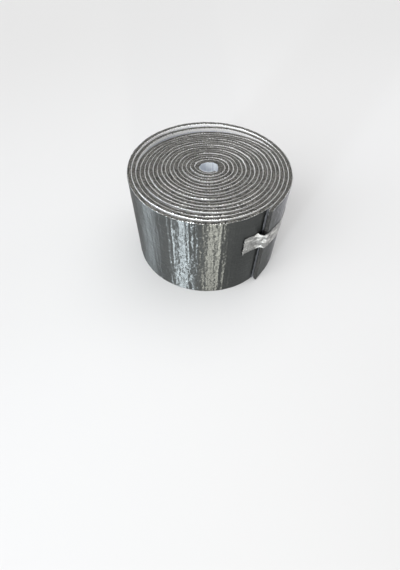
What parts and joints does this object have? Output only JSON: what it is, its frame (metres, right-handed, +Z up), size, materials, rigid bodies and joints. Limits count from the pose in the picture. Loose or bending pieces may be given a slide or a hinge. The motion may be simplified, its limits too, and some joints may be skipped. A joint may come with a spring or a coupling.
{
  "type": "insulation roll",
  "caption": "Coreless roll of foil-faced self-adhesive foam insulation strip standing on its end, its tail held by a piece of white tape.",
  "frame": {"origin": "on the bore's axis, in the plane that the roll stands on", "axes": "+Z up along the bore's axis; +X to the right and +Y away from someone who faces the tail, which is 46 degrees from +X towards -Y"},
  "size_m": [0.3132, 0.3074, 0.2],
  "materials": {
    "foam": "matt, fine closed cells on the cut edges",
    "foil": "smooth foil with fine wrinkles",
    "liner": "glossy release film with small wrinkles",
    "tape": "glossy white packing tape, creased"
  },
  "bodies": {
    "root": {"foam_roll": "foam", "foil_facing": "foil", "liner_in_bore": "liner", "liner_at_tail": "liner", "tail_tape": "tape"}
  },
  "joints": []
}
